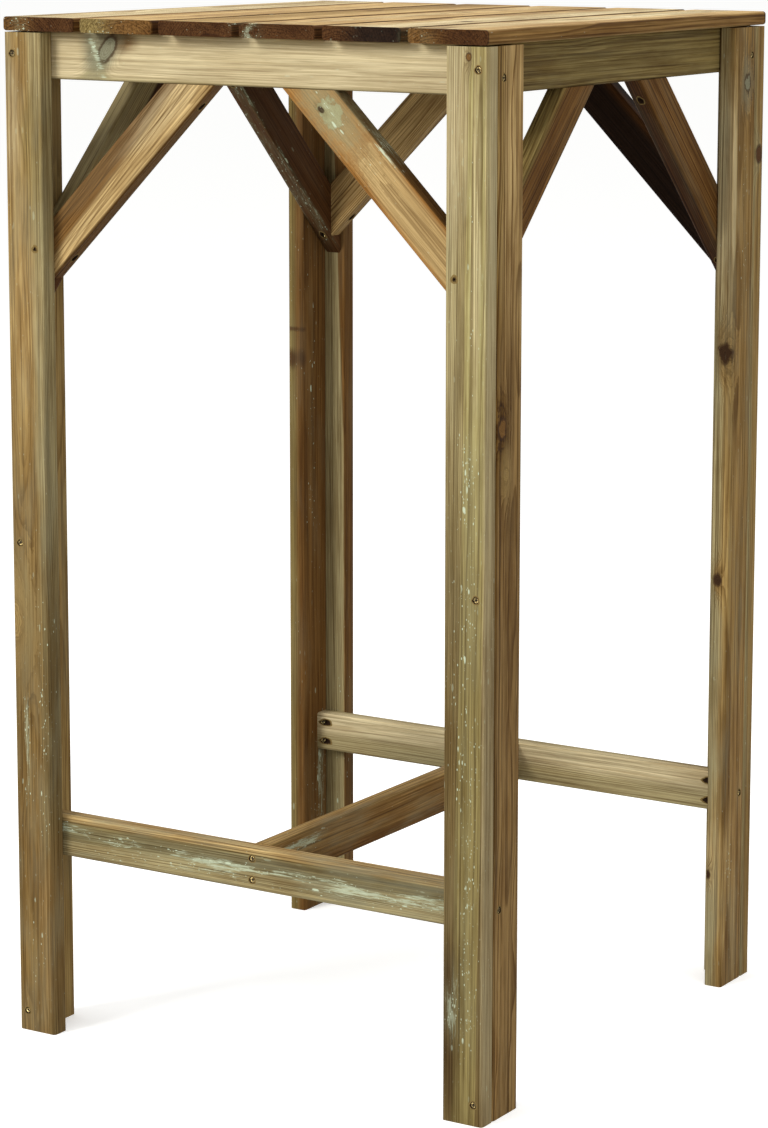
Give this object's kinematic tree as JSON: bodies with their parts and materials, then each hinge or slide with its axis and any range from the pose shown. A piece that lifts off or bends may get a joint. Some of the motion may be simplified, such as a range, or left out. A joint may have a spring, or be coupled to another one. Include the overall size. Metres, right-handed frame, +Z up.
{
  "type": "outdoor bar table",
  "caption": "Tall square outdoor bar table of planed pine: slatted top on L-shaped legs, joined by aprons, mitred knee braces and a low H of stretchers.",
  "frame": {"origin": "on the floor, in the middle of the table's outline", "axes": "+Z up; the slats run along Y; the front, with a stretcher low between the legs, looks to -Y"},
  "size_m": [0.585, 0.6, 1.096],
  "materials": {
    "frame_pine": "planed pressure-treated pine, olive-tan with green stains, knots and open grain",
    "top_pine": "planed pressure-treated pine, pale golden tan with fine dark grain lines",
    "screw_steel": "zinc-plated countersunk screws"
  },
  "bodies": {
    "root": {"apron_corner_screws": "screw_steel", "apron_end_screws": "screw_steel", "back_apron": "frame_pine", "back_brace_left": "frame_pine", "back_brace_right": "frame_pine", "back_left_leg_face_batten": "frame_pine", "back_left_leg_side_batten": "frame_pine", "back_right_leg_face_batten": "frame_pine", "back_right_leg_side_batten": "frame_pine", "back_stretcher": "frame_pine", "brace_screws": "screw_steel", "brace_seat_screws": "screw_steel", "front_apron": "frame_pine", "front_brace_left": "frame_pine", "front_brace_right": "frame_pine", "front_left_leg_face_batten": "frame_pine", "front_left_leg_side_batten": "frame_pine", "front_right_leg_face_batten": "frame_pine", "front_right_leg_side_batten": "frame_pine", "front_stretcher": "frame_pine", "left_apron": "frame_pine", "left_brace_back": "frame_pine", "left_brace_front": "frame_pine", "leg_screws": "screw_steel", "middle_stretcher": "frame_pine", "middle_stretcher_screws": "screw_steel", "right_apron": "frame_pine", "right_brace_back": "frame_pine", "right_brace_front": "frame_pine", "slat_screws": "screw_steel", "stretcher_end_screws": "screw_steel", "stretcher_toe_screws": "screw_steel", "top_slat_1": "top_pine", "top_slat_2": "top_pine", "top_slat_3": "top_pine", "top_slat_4": "top_pine", "top_slat_5": "top_pine", "top_slat_6": "top_pine"}
  },
  "joints": []
}
